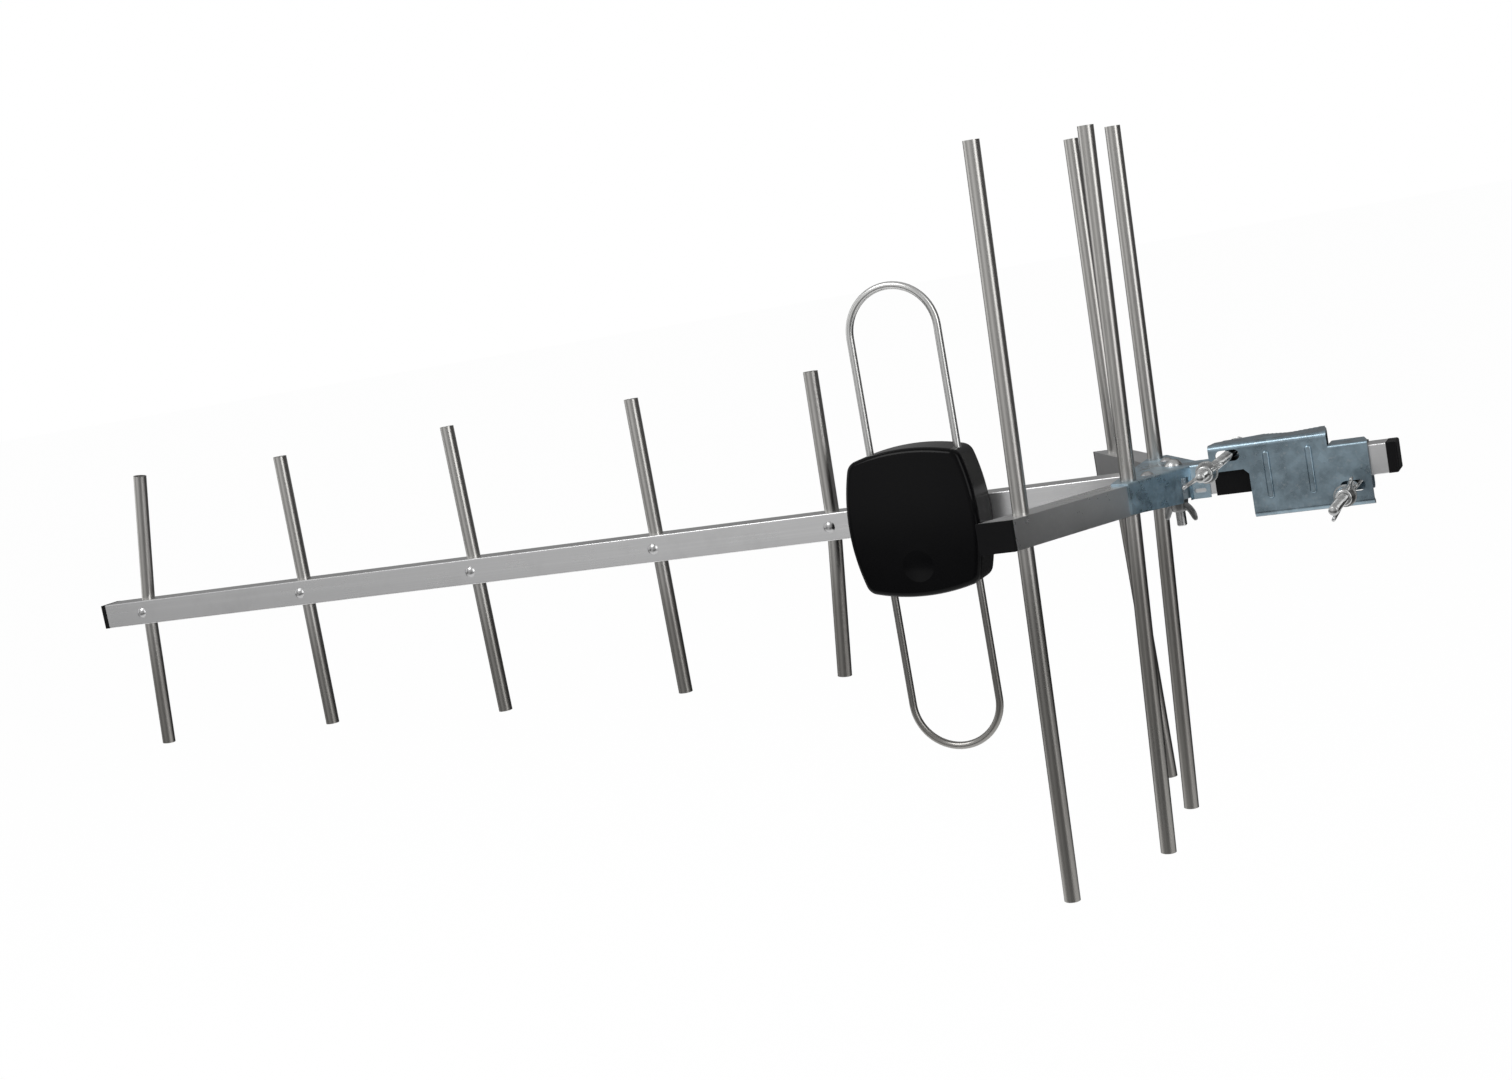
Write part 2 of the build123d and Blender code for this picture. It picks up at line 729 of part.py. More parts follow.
# Mast clamp: a V notch with teeth along its two sides, as points from its left lip to its right lip
def toothed_notch(lip_y, bottom_y):
    run = math.hypot(notch_half_width, bottom_y - lip_y)
    count = int(run // tooth_pitch)
    along = (notch_half_width / run, (bottom_y - lip_y) / run)
    into = (along[1], -along[0]) if bottom_y < lip_y else (-along[1], along[0])
    left = [(-notch_half_width, lip_y)]
    for tooth in range(count):
        start = tooth * run / count
        middle = start + run / count / 2
        end = start + run / count
        for distance, height in ((middle, tooth_height), (end, 0)):
            x = -notch_half_width + along[0] * distance + into[0] * height
            y = lip_y + along[1] * distance + into[1] * height
            left.append((x, y))
    right = [(-x, y) for x, y in reversed(left[:-1])]
    return left + right


# A flange of the clamp's sheet, flat in X and Y: an ear that slopes up to the toothed notch on its long side,
# and a square lip on its short side. The long side is the left one, and mirrored for the lower flange.
def toothed_flange(half_width, middle, root_y, ear_y, lip_y, notch_y, low_z, mirrored):
    notch = toothed_notch(lip_y, notch_y)
    inward = 1 if lip_y > root_y else -1
    fold_y = root_y + inward * (clamp_bend + clamp_sheet)
    slope = end_slope if inward > 0 else 0
    outline = [(-half_width, root_y), (-half_width, fold_y), (-half_width + slope / 2, ear_y), *notch]
    outline += [(middle - slope, lip_y), (middle, fold_y), (middle, root_y)]
    if mirrored:
        outline = [(-x, y) for x, y in outline]
    face = make_face(Polyline(*outline, close=True))
    return Pos(0, 0, low_z) * extrude(face, clamp_sheet, dir=(0, 0, 1))


# The flat web of a clamp piece, drawn in X and Z
def clamp_web(points, front):
    place = Plane(origin=(0, front, 0), x_dir=(1, 0, 0), z_dir=(0, -1, 0))
    face = make_face(Polyline(*points, close=True))
    return Pos(0, clamp_sheet, 0) * extrude(place * face, clamp_sheet)


def clamp_slot():
    slot = SlotOverall(clamp_slot_length, 2 * (bolt_radius + clamp_slot_gap))
    return extrude(Plane.XZ * slot, 4 * clamp_sheet, both=True)


def clamp_rib(radius, height, x):
    length = rib_top - rib_bottom
    slot = SlotOverall(length, 2 * radius, rotation=90)
    rib = extrude(slot, height)
    rib = fillet(rib.faces().sort_by(Axis.Z)[-1].edges(), height * 0.8)
    return Pos(x, plate_front, (rib_top + rib_bottom) / 2) * Rot(90, 0, 0) * rib


def make_clamp_plate():
    half = clamp_half_width
    web = clamp_web([
        (-half, left_wing_bottom), (-half, plate_top), (clamp_middle, plate_top),
        (clamp_middle, right_wing_top), (half, right_wing_top), (half, plate_bottom),
        (-clamp_middle, plate_bottom), (-clamp_middle, left_wing_bottom - wing_corner),
        (-clamp_middle - wing_corner, left_wing_bottom),
    ], plate_front)
    sizes = (half, clamp_middle, plate_front, plate_ear_y, plate_lip_y, plate_notch_y)
    plate = web + toothed_flange(*sizes, plate_top - clamp_sheet, False)
    plate += toothed_flange(*sizes, plate_bottom, True)
    lip = Polyline(
        (clamp_middle, plate_front), (half, plate_front), (half, plate_front + clamp_bend + clamp_sheet),
        (half - end_slope, plate_front + wing_lip), (clamp_middle, plate_front + wing_lip), close=True,
    )
    plate += Pos(0, 0, right_wing_top - clamp_sheet) * extrude(make_face(lip), clamp_sheet, dir=(0, 0, 1))
    wing_fold = [edge for edge in folds(plate, plate_front, left_wing_bottom + 1)
                 if abs(edge.center().Z - right_wing_top) < 0.1]
    plate = fillet(wing_fold, wing_bend)
    plate = fillet(folds(plate, plate_front, right_wing_top + 1), clamp_bend)
    for side in (-1, 1):
        plate -= Pos(side * clamp_bolt_x, plate_front, -side * clamp_bolt_z) * clamp_slot()
        plate += clamp_rib(rib_radius, rib_height, side * rib_x)
    for side in (-1, 1):
        plate -= Pos(0, clamp_sheet, 0) * clamp_rib(rib_radius * 0.8, rib_height, side * rib_x)
    return plate


# The sharp outer edges along X, farther than a reach from the boom's axis, that a fold rounds off
def folds(piece, y, reach):
    edges = piece.edges().filter_by(Axis.X).filter_by_position(Axis.Y, y - 0.01, y + 0.01)
    return [edge for edge in edges if abs(edge.center().Z) > reach]


def make_clamp_jaw():
    half = jaw_half_width
    web = clamp_web([
        (-half, jaw_wing_edge), (-half, jaw_top), (jaw_middle, jaw_top),
        (jaw_middle, -jaw_wing_edge), (half, -jaw_wing_edge), (half, jaw_bottom),
        (-jaw_middle, jaw_bottom), (-jaw_middle, jaw_wing_edge),
    ], jaw_front)
    ear_y = jaw_front - jaw_ear_length
    sizes = (half, jaw_middle, jaw_back, ear_y, jaw_tip, jaw_front - jaw_notch_gap)
    jaw = web + toothed_flange(*sizes, jaw_top - clamp_sheet, False)
    jaw += toothed_flange(*sizes, jaw_bottom, True)
    jaw = fillet(folds(jaw, jaw_back, jaw_wing_edge + 1), clamp_bend)
    opening = carriage_neck + 2 * carriage_neck_clearance
    for side in (-1, 1):
        hole = Box(opening, 40, opening)
        jaw -= Pos(side * clamp_bolt_x, jaw_back, -side * clamp_bolt_z) * hole
    return jaw


def make_clamp_bolts():
    bolts = []
    for side in (-1, 1):
        head = Rot(-90, 0, 0) * dome(carriage_head_radius, carriage_head_height)
        neck = Pos(0, -clamp_sheet, 0) * Box(carriage_neck, 2 * clamp_sheet, carriage_neck)
        length = jaw_back - plate_front + clamp_bolt_front
        shank = along_y(bolt_radius, -length, 0, 0, 0)
        shank = chamfer(shank.faces().sort_by(Axis.Y)[0].edges(), 0.5)
        bolts.append(Pos(side * clamp_bolt_x, jaw_back, -side * clamp_bolt_z) * (head + neck + shank))
    return bolts


# A washer or a wing nut on a clamp bolt, at the given distance in front of the plate
def on_clamp_bolt(piece, side, distance, turn):
    place = Pos(side * clamp_bolt_x, plate_front - distance, -side * clamp_bolt_z)
    return place * Rot(90, 0, 0) * Rot(0, 0, turn) * piece


# Packing sleeve
def make_clamp_sleeve():
    sleeve = Box(2 * sleeve_half_length, 2 * sleeve_half, 2 * sleeve_half)
    sleeve = fillet(sleeve.edges().filter_by(Axis.X), 0.8)
    inside = boom_side + 2 * sleeve_clearance
    return sleeve - Box(4 * sleeve_half_length, inside, inside)


def make_parts():
    parts = {
        "boom": make_boom(),
        "boom_front_cap": make_front_cap(),
        "boom_rear_cap": make_rear_cap(),
        "director_rivets": make_director_rivets(),
        "dipole_loop": make_dipole_loop(),
        "box_base": make_box_base(),
        "box_lid": make_box_lid(),
        "balun_board": make_balun_board(),
        "balun_core": make_balun_core(),
        "balun_wires": make_balun_wires(),
        "terminal_blocks": make_terminal_blocks(),
        "terminal_screws": make_terminal_screws(),
        "f_socket": make_f_socket(),
        "socket_insert": make_socket_insert(),
        "socket_washer": make_socket_washer(),
        "socket_nut": make_socket_nut(),
        "box_screws": make_box_screws(),
        "near_arm": make_arm(-1),
        "far_arm": make_arm(1),
        "arm_plugs": make_arm_plugs(),
        "reflector_bracket": make_reflector_bracket(),
        "bracket_rivets": make_bracket_rivets(),
        "bracket_bolt": make_bracket_bolt(),
        "bracket_washer": make_bracket_washer(),
        "bracket_wing_nut": make_bracket_wing_nut(),
        "clamp_sleeve": make_clamp_sleeve(),
        "clamp_plate": make_clamp_plate(),
        "clamp_jaw": make_clamp_jaw(),
        "clamp_bolts": make_clamp_bolts(),
        "upper_washer": on_clamp_bolt(make_washer(), -1, upper_nut_place, 0),
        "upper_wing_nut": on_clamp_bolt(make_wing_nut(), -1, upper_nut_base, upper_nut_turn),
        "lower_washer": on_clamp_bolt(make_washer(), 1, lower_nut_place, 0),
        "lower_wing_nut": on_clamp_bolt(make_wing_nut(), 1, lower_nut_base, lower_nut_turn),
    }
    for number, entry in enumerate(directors, 1):
        parts[f"director_{number}"] = make_director(*entry)
    for number, entry in enumerate(reflector_rods, 1):
        parts[f"reflector_rod_{number}"] = make_rod(entry)
    return parts


def main():
    os.makedirs("parts", exist_ok=True)
    for name, shape in make_parts().items():
        pieces = shape if isinstance(shape, list) else [shape]
        solids = [solid for piece in pieces for solid in piece.solids()]
        export_step(Compound(children=solids), f"parts/{name}.step")


main()
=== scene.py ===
import math

import bmesh
import bpy
from bpy.props import FloatProperty, FloatVectorProperty, IntProperty, PointerProperty
from mathutils import Matrix, Vector


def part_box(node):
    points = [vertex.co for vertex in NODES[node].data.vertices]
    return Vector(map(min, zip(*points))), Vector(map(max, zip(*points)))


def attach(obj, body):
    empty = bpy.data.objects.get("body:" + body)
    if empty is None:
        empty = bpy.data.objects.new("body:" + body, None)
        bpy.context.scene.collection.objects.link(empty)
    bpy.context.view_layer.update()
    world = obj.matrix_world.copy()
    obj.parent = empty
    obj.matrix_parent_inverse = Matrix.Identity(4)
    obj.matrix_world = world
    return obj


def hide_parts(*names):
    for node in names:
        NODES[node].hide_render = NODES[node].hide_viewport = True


bl_info = {
    "name": "Television antenna",
    "version": (1, 0, 0),
    "blender": (4, 5, 0),
    "location": "View3D > Sidebar > Antenna",
    "description": "Finishes and fine detail for an outdoor television antenna",
    "category": "Object",
}

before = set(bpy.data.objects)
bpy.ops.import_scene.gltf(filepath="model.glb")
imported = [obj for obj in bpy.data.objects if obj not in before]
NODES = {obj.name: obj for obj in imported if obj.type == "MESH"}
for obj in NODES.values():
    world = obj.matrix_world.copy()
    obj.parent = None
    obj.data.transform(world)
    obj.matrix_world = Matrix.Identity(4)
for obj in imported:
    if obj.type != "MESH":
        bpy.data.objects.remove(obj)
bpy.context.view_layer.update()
MM = 0.001


# Centre of a solid's box, read from its imported mesh
def middle(node):
    low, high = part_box(node)
    return [(a + b) / 2 for a, b in zip(low, high)]


# Settings that a user would change
class AntennaStage(bpy.types.PropertyGroup):
    floor_height: FloatProperty(
        name="Floor height", description="Height of the floor against the boom's axis", default=-0.45,
        unit="LENGTH",
    )
    floor_size: FloatProperty(
        name="Floor size", description="Side of the square floor", default=60.0, unit="LENGTH"
    )
    floor_colour: FloatVectorProperty(
        name="Floor colour", description="Colour of the pale floor", default=(0.96, 0.96, 0.96),
        subtype="COLOR", size=3, min=0.0, max=1.0,
    )
    room_level: FloatProperty(
        name="Room level", description="Brightness of the room around the antenna", default=1.0, min=0.0
    )
    middle_floor: FloatProperty(
        name="Middle floor", description="How bright the floor a stride away looks in polished metal",
        default=0.27, min=0.0, max=1.0,
    )
    white_haze: FloatProperty(
        name="White haze", description="How much of the white backdrop the polished metal shows",
        default=0.03, min=0.0, max=1.0,
    )
    key_power: FloatProperty(
        name="Key light", description="Power of the large soft lamp above and in front",
        default=20.0, min=0.0,
    )
    lens: FloatProperty(
        name="Lens", description="Focal length of the camera", default=49.376, unit="CAMERA"
    )


class AntennaMetal(bpy.types.PropertyGroup):
    boom_colour: FloatVectorProperty(
        name="Boom", description="Colour of the drawn square tube", default=(0.80, 0.80, 0.805),
        subtype="COLOR", size=3, min=0.0, max=1.0,
    )
    tube_colour: FloatVectorProperty(
        name="Elements", description="Colour of the round tubes", default=(0.55, 0.54, 0.52),
        subtype="COLOR", size=3, min=0.0, max=1.0,
    )
    dipole_colour: FloatVectorProperty(
        name="Dipole", description="Colour of the bent rod", default=(0.72, 0.72, 0.71),
        subtype="COLOR", size=3, min=0.0, max=1.0,
    )
    zinc_colour: FloatVectorProperty(
        name="Zinc plate", description="Colour of the plated sheet steel", default=(0.39, 0.51, 0.59),
        subtype="COLOR", size=3, min=0.0, max=1.0,
    )
    fixing_colour: FloatVectorProperty(
        name="Fixings", description="Colour of the bolts, washers and wing nuts", default=(0.66, 0.67, 0.67),
        subtype="COLOR", size=3, min=0.0, max=1.0,
    )


class AntennaFixings(bpy.types.PropertyGroup):
    thread_pitch: FloatProperty(
        name="Thread pitch", description="Pitch of the bolts' thread", default=0.8 * MM, unit="LENGTH"
    )
    thread_depth: FloatProperty(
        name="Thread depth", description="Depth of the bolts' thread", default=0.42 * MM, unit="LENGTH"
    )
    bolt_radius: FloatProperty(
        name="Bolt radius", description="Outer radius of the thread", default=2.5 * MM, unit="LENGTH"
    )
    head_height: FloatProperty(
        name="Head height", description="Height of a carriage bolt's domed head", default=2.6 * MM,
        unit="LENGTH",
    )
    head_radius: FloatProperty(
        name="Head radius", description="Radius of a carriage bolt's domed head", default=5.2 * MM,
        unit="LENGTH",
    )
    neck_width: FloatProperty(
        name="Neck width", description="Width of a carriage bolt's square neck", default=5.0 * MM,
        unit="LENGTH",
    )
    neck_length: FloatProperty(
        name="Neck length", description="Length of a carriage bolt's square neck", default=3.0 * MM,
        unit="LENGTH",
    )
    wing_thickness: FloatProperty(
        name="Wing thickness", description="Thickness of a wing nut's wing at its root", default=2.9 * MM,
        unit="LENGTH",
    )
    segments: IntProperty(
        name="Segments", description="How many sides the turned pieces have", default=32, min=12, max=64
    )


class AntennaPlastic(bpy.types.PropertyGroup):
    box_colour: FloatVectorProperty(
        name="Housing", description="Colour of the glossy housing", default=(0.002, 0.002, 0.0023),
        subtype="COLOR", size=3, min=0.0, max=1.0,
    )
    box_roughness: FloatProperty(
        name="Housing roughness", description="How matt the housing's face is", default=0.16, min=0.0, max=1.0
    )
    cap_colour: FloatVectorProperty(
        name="Caps", description="Colour of the moulded caps, plugs and packing sleeve",
        default=(0.0035, 0.0035, 0.004), subtype="COLOR", size=3, min=0.0, max=1.0,
    )


# Node helpers
def new_material(name):
    material = bpy.data.materials.new(name)
    material.use_nodes = True
    material.node_tree.nodes.clear()
    return material


def add(tree, kind, **values):
    node = tree.nodes.new(kind)
    for name, value in values.items():
        setattr(node, name, value)
    return node


def shader(material, **values):
    tree = material.node_tree
    output = add(tree, "ShaderNodeOutputMaterial")
    principled = add(tree, "ShaderNodeBsdfPrincipled")
    for name, value in values.items():
        principled.inputs[name.replace("_", " ")].default_value = value
    tree.links.new(principled.outputs["BSDF"], output.inputs["Surface"])


def ramp(tree, source, stops):
    node = add(tree, "ShaderNodeValToRGB")
    node.color_ramp.elements[0].position = stops[0][0]
    node.color_ramp.elements[0].color = (*[stops[0][1]] * 3, 1)
    node.color_ramp.elements[1].position = stops[1][0]
    node.color_ramp.elements[1].color = (*[stops[1][1]] * 3, 1)
    for place, value in stops[2:]:
        node.color_ramp.elements.new(place).color = (*[value] * 3, 1)
    tree.links.new(source, node.inputs["Fac"])
    return node.outputs["Color"]


def blend(tree, factor, first, second):
    node = add(tree, "ShaderNodeMix", data_type="RGBA")
    for socket, value in ((node.inputs["Factor"], factor), (node.inputs[6], first), (node.inputs[7], second)):
        if isinstance(value, bpy.types.NodeSocket):
            tree.links.new(value, socket)
        else:
            socket.default_value = value
    return node.outputs[2]


def scale(tree, source, low, high):
    node = add(tree, "ShaderNodeMapRange")
    node.inputs["To Min"].default_value = low
    node.inputs["To Max"].default_value = high
    tree.links.new(source, node.inputs["Value"])
    return node.outputs["Result"]


def object_place(tree, stretch=(1.0, 1.0, 1.0), turn=(0.0, 0.0, 0.0)):
    place = add(tree, "ShaderNodeTexCoord")
    mapping = add(tree, "ShaderNodeMapping", vector_type="POINT")
    mapping.inputs["Scale"].default_value = stretch
    mapping.inputs["Rotation"].default_value = turn
    tree.links.new(place.outputs["Object"], mapping.inputs["Vector"])
    return mapping.outputs["Vector"]


def noise(tree, place, size, detail=3.0, roughness=0.55):
    node = add(tree, "ShaderNodeTexNoise")
    node.inputs["Scale"].default_value = size
    node.inputs["Detail"].default_value = detail
    node.inputs["Roughness"].default_value = roughness
    tree.links.new(place, node.inputs["Vector"])
    return node.outputs["Fac"]


def math_node(tree, operation, first, second=None):
    node = add(tree, "ShaderNodeMath", operation=operation)
    for socket, value in zip(node.inputs, (first, second)):
        if isinstance(value, bpy.types.NodeSocket):
            tree.links.new(value, socket)
        elif value is not None:
            socket.default_value = value
    return node.outputs[0]


def smooth_step(tree, source, start, end, low, high):
    node = add(tree, "ShaderNodeMapRange", interpolation_type="SMOOTHSTEP")
    for label, value in (("From Min", start), ("From Max", end), ("To Min", low), ("To Max", high)):
        node.inputs[label].default_value = value
    tree.links.new(source, node.inputs["Value"])
    return node.outputs["Result"]


# Shared effects
def new_group(name, inputs, outputs):
    group = bpy.data.node_groups.new(name, "ShaderNodeTree")
    for label, kind, value in inputs:
        socket = group.interface.new_socket(label, in_out="INPUT", socket_type=kind)
        if value is not None:
            socket.default_value = value
    for label, kind in outputs:
        group.interface.new_socket(label, in_out="OUTPUT", socket_type=kind)
    return group, add(group, "NodeGroupInput"), add(group, "NodeGroupOutput")


# Painted shade that darkens the lower part of the elements: its colour, and the heights where it starts and
# where it is full
PAINTED_SHADE_BELOW = (0.13, 0.118, 0.10, 1.0)
PAINTED_SHADE_TOP = -6 * MM
PAINTED_SHADE_FULL = -50 * MM


# Fine lines left by the drawing die, with the handling marks that cross them, and a patchy painted shade that
# darkens the lower part
def make_drawn_lines():
    group, source, result = new_group(
        "Drawn lines",
        [("Lines", "NodeSocketVector", None), ("Place", "NodeSocketVector", None),
         ("Colour", "NodeSocketColor", (0.5, 0.5, 0.5, 1)), ("Dark", "NodeSocketColor", (0.3, 0.3, 0.3, 1)),
         ("Painted shade below", "NodeSocketFloat", 0.0)],
        [("Colour", "NodeSocketColor"), ("Roughness", "NodeSocketFloat"), ("Height", "NodeSocketFloat")],
    )
    fine = noise(group, source.outputs["Lines"], 1.0, 4.0, 0.6)
    coarse = noise(group, source.outputs["Lines"], 0.22, 2.0, 0.5)
    stain = noise(group, source.outputs["Place"], 60.0, 5.0, 0.65)
    smear = noise(group, source.outputs["Place"], 14.0, 3.0, 0.6)
    lines = add(group, "ShaderNodeMath", operation="ADD")
    group.links.new(fine, lines.inputs[0])
    group.links.new(coarse, lines.inputs[1])
    line_mask = ramp(group, scale(group, lines.outputs[0], -0.45, 0.55), [(0.3, 0.0), (0.72, 0.4)])
    stain_mask = ramp(group, stain, [(0.5, 0.0), (0.72, 0.4)])
    toned = blend(group, line_mask, source.outputs["Colour"], source.outputs["Dark"])
    stained = blend(group, stain_mask, toned, source.outputs["Dark"])
    parts = add(group, "ShaderNodeSeparateXYZ")
    group.links.new(source.outputs["Place"], parts.inputs[0])
    # Painted shade: the colour darkens towards the bottom, below the boom's axis, in uneven patches
    painted_shade_fade = smooth_step(group, parts.outputs["Z"], PAINTED_SHADE_FULL, PAINTED_SHADE_TOP, 1.0, 0.0)
    patchy = math_node(group, "MULTIPLY", painted_shade_fade, scale(group, smear, 0.6, 1.4))
    painted_shade_below = math_node(group, "MULTIPLY", patchy, source.outputs["Painted shade below"])
    group.links.new(blend(group, painted_shade_below, stained, PAINTED_SHADE_BELOW), result.inputs["Colour"])
    rough = add(group, "ShaderNodeMath", operation="ADD")
    group.links.new(scale(group, smear, 0.18, 0.34), rough.inputs[0])
    group.links.new(scale(group, line_mask, 0.02, 0.08), rough.inputs[1])
    group.links.new(rough.outputs[0], result.inputs["Roughness"])
    group.links.new(lines.outputs[0], result.inputs["Height"])
    return group


# Cloudy zinc plate with a faint crystal pattern and chalky spots
def make_zinc_bloom():
    group, source, result = new_group(
        "Zinc bloom",
        [("Place", "NodeSocketVector", None), ("Colour", "NodeSocketColor", (0.4, 0.45, 0.5, 1)),
         ("Bloom", "NodeSocketColor", (0.7, 0.72, 0.72, 1)),
         ("Shade", "NodeSocketColor", (0.15, 0.2, 0.24, 1)),
         ("Bright", "NodeSocketFloat", 0.3), ("Dull", "NodeSocketFloat", 0.56)],
        [("Colour", "NodeSocketColor"), ("Roughness", "NodeSocketFloat"), ("Height", "NodeSocketFloat")],
    )
    cloud = noise(group, source.outputs["Place"], 90.0, 5.0, 0.62)
    speck = noise(group, source.outputs["Place"], 420.0, 4.0, 0.7)
    crystal = add(group, "ShaderNodeTexVoronoi", feature="F1", distance="EUCLIDEAN")
    crystal.inputs["Scale"].default_value = 260.0
    group.links.new(source.outputs["Place"], crystal.inputs["Vector"])
    grains = scale(group, crystal.outputs["Color"], 0.0, 0.35)
    grained = blend(group, grains, source.outputs["Colour"], source.outputs["Shade"])
    shaded = blend(group, ramp(group, cloud, [(0.38, 0.7), (0.62, 0.0)]), grained, source.outputs["Shade"])
    bloomed = blend(group, ramp(group, speck, [(0.55, 0.0), (0.75, 0.6)]), shaded, source.outputs["Bloom"])
    group.links.new(bloomed, result.inputs["Colour"])
    spread = add(group, "ShaderNodeMix", data_type="FLOAT")
    group.links.new(ramp(group, cloud, [(0.3, 0.0), (0.7, 1.0)]), spread.inputs["Factor"])
    group.links.new(source.outputs["Bright"], spread.inputs[2])
    group.links.new(source.outputs["Dull"], spread.inputs[3])
    group.links.new(spread.outputs[0], result.inputs["Roughness"])
    group.links.new(speck, result.inputs["Height"])
    return group


# Fine moulded texture with hair-thin scuffs
def make_moulded_skin():
    group, source, result = new_group(
        "Moulded skin",
        [("Place", "NodeSocketVector", None), ("Colour", "NodeSocketColor", (0.01, 0.01, 0.01, 1)),
         ("Scuff", "NodeSocketColor", (0.05, 0.05, 0.05, 1)), ("Smooth", "NodeSocketFloat", 0.2),
         ("Matt", "NodeSocketFloat", 0.4)],
        [("Colour", "NodeSocketColor"), ("Roughness", "NodeSocketFloat"), ("Height", "NodeSocketFloat")],
    )
    haze = noise(group, source.outputs["Place"], 35.0, 4.0, 0.6)
    grain = noise(group, source.outputs["Place"], 1400.0, 2.0, 0.6)
    scratch_place = add(group, "ShaderNodeMapping")
    scratch_place.inputs["Scale"].default_value = (60.0, 60.0, 1600.0)
    scratch_place.inputs["Rotation"].default_value = (0.5, 0.9, 0.3)
    group.links.new(source.outputs["Place"], scratch_place.inputs["Vector"])
    scratch = noise(group, scratch_place.outputs["Vector"], 1.0, 2.0, 0.5)
    scratch_mask = ramp(group, scratch, [(0.66, 0.0), (0.74, 0.5)])
    haze_mask = ramp(group, haze, [(0.45, 0.0), (0.75, 0.4)])
    hazed = blend(group, haze_mask, source.outputs["Colour"], source.outputs["Scuff"])
    group.links.new(blend(group, scratch_mask, hazed, source.outputs["Scuff"]), result.inputs["Colour"])
    spread = add(group, "ShaderNodeMix", data_type="FLOAT")
    group.links.new(haze_mask, spread.inputs["Factor"])
    group.links.new(source.outputs["Smooth"], spread.inputs[2])
    group.links.new(source.outputs["Matt"], spread.inputs[3])
    group.links.new(spread.outputs[0], result.inputs["Roughness"])
    group.links.new(grain, result.inputs["Height"])
    return group


# Each effect is made once, when the first material asks for it
EFFECTS = {}


def effect(name, maker):
    if name not in EFFECTS:
        EFFECTS[name] = maker()
    return EFFECTS[name]


METAL_RELIEF = 0.05 * MM
PLASTIC_RELIEF = 0.03 * MM


def use_effect(material, group, colours, place, lines=None, bump=0.0, bump_depth=METAL_RELIEF):
    tree = material.node_tree
    node = add(tree, "ShaderNodeGroup")
    node.node_tree = group
    for label, value in colours.items():
        node.inputs[label].default_value = value
    tree.links.new(place, node.inputs["Place"])
    if lines is not None:
        tree.links.new(lines, node.inputs["Lines"])
    principled = next(item for item in tree.nodes if item.type == "BSDF_PRINCIPLED")
    tree.links.new(node.outputs["Colour"], principled.inputs["Base Color"])
    tree.links.new(node.outputs["Roughness"], principled.inputs["Roughness"])
    if bump:
        relief = add(tree, "ShaderNodeBump")
        relief.inputs["Strength"].default_value = bump
        relief.inputs["Distance"].default_value = bump_depth
        tree.links.new(node.outputs["Height"], relief.inputs["Height"])
        tree.links.new(relief.outputs["Normal"], principled.inputs["Normal"])


def tone(colour, factor):
    return (*[min(channel * factor, 1.0) for channel in colour], 1.0)


# Finishes
LINES_ACROSS = 1400.0
LINES_ALONG = 6.0


# The last argument sets how strongly the painted shade darkens the lower part
def drawn_metal(name, colour, along, turn=(0.0, 0.0, 0.0), dark=0.82, bump=0.12, painted_shade_below=0.0):
    material = new_material(name)
    shader(material, Metallic=1.0)
    tree = material.node_tree
    stretch = [LINES_ACROSS] * 3
    stretch["XYZ".index(along)] = LINES_ALONG
    lines = object_place(tree, stretch, turn)
    use_effect(
        material, effect("drawn", make_drawn_lines),
        {"Colour": tone(colour, 1.0), "Dark": tone(colour, dark), "Painted shade below": painted_shade_below},
        object_place(tree), lines, bump,
    )
    return material


def zinc_metal(name, colour, bloom, shade=0.42, bright=0.20, dull=0.44, bump=0.3):
    material = new_material(name)
    shader(material, Metallic=1.0)
    use_effect(
        material, effect("zinc", make_zinc_bloom),
        {"Colour": tone(colour, 1.0), "Shade": tone(colour, shade), "Bloom": (*bloom, 1.0),
         "Bright": bright, "Dull": dull},
        object_place(material.node_tree), None, bump,
    )
    return material


def moulded_plastic(name, colour, scuff, smooth, matt, bump, ior=1.5):
    material = new_material(name)
    shader(material, Metallic=0.0, IOR=ior)
    use_effect(
        material, effect("moulded", make_moulded_skin),
        {"Colour": (*colour, 1.0), "Scuff": (*scuff, 1.0), "Smooth": smooth, "Matt": matt},
        object_place(material.node_tree), None, bump, PLASTIC_RELIEF,
    )
    return material


def dress(node, material):
    mesh = NODES[node].data
    mesh.materials.clear()
    mesh.materials.append(material)


# Fixings in mesh: bolts with a cut thread, and cast wing nuts
def new_piece(name, mesh, body, node, material):
    piece = bpy.data.objects.new(name, mesh)
    bpy.context.collection.objects.link(piece)
    mesh.materials.append(material)
    mesh.shade_smooth()
    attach(piece, body)
    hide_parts(node)


# A ring of points round the Z axis, one for each radius
def new_ring(form, height, radii):
    ring = []
    for step, radius in enumerate(radii):
        bearing = 2 * math.pi * step / len(radii)
        ring.append(form.verts.new((radius * math.cos(bearing), radius * math.sin(bearing), height)))
    return ring


def join_rings(form, low, high):
    for step in range(len(low)):
        after = (step + 1) % len(low)
        form.faces.new((low[step], low[after], high[after], high[step]))


def join_all(form, rings):
    for low, high in zip(rings, rings[1:]):
        join_rings(form, low, high)


def turn_profile(form, profile, segments):
    rings = [new_ring(form, height, [radius] * segments) for radius, height in profile]
    join_all(form, rings)
    return rings


# Small sizes of a carriage bolt: the edge of its head, the thread's start inside its neck and its tapered tip
HEAD_EDGE = 0.25 * MM
THREAD_START = 0.2 * MM
TIP_TAPER = 0.9 * MM
RINGS_A_TURN = 5


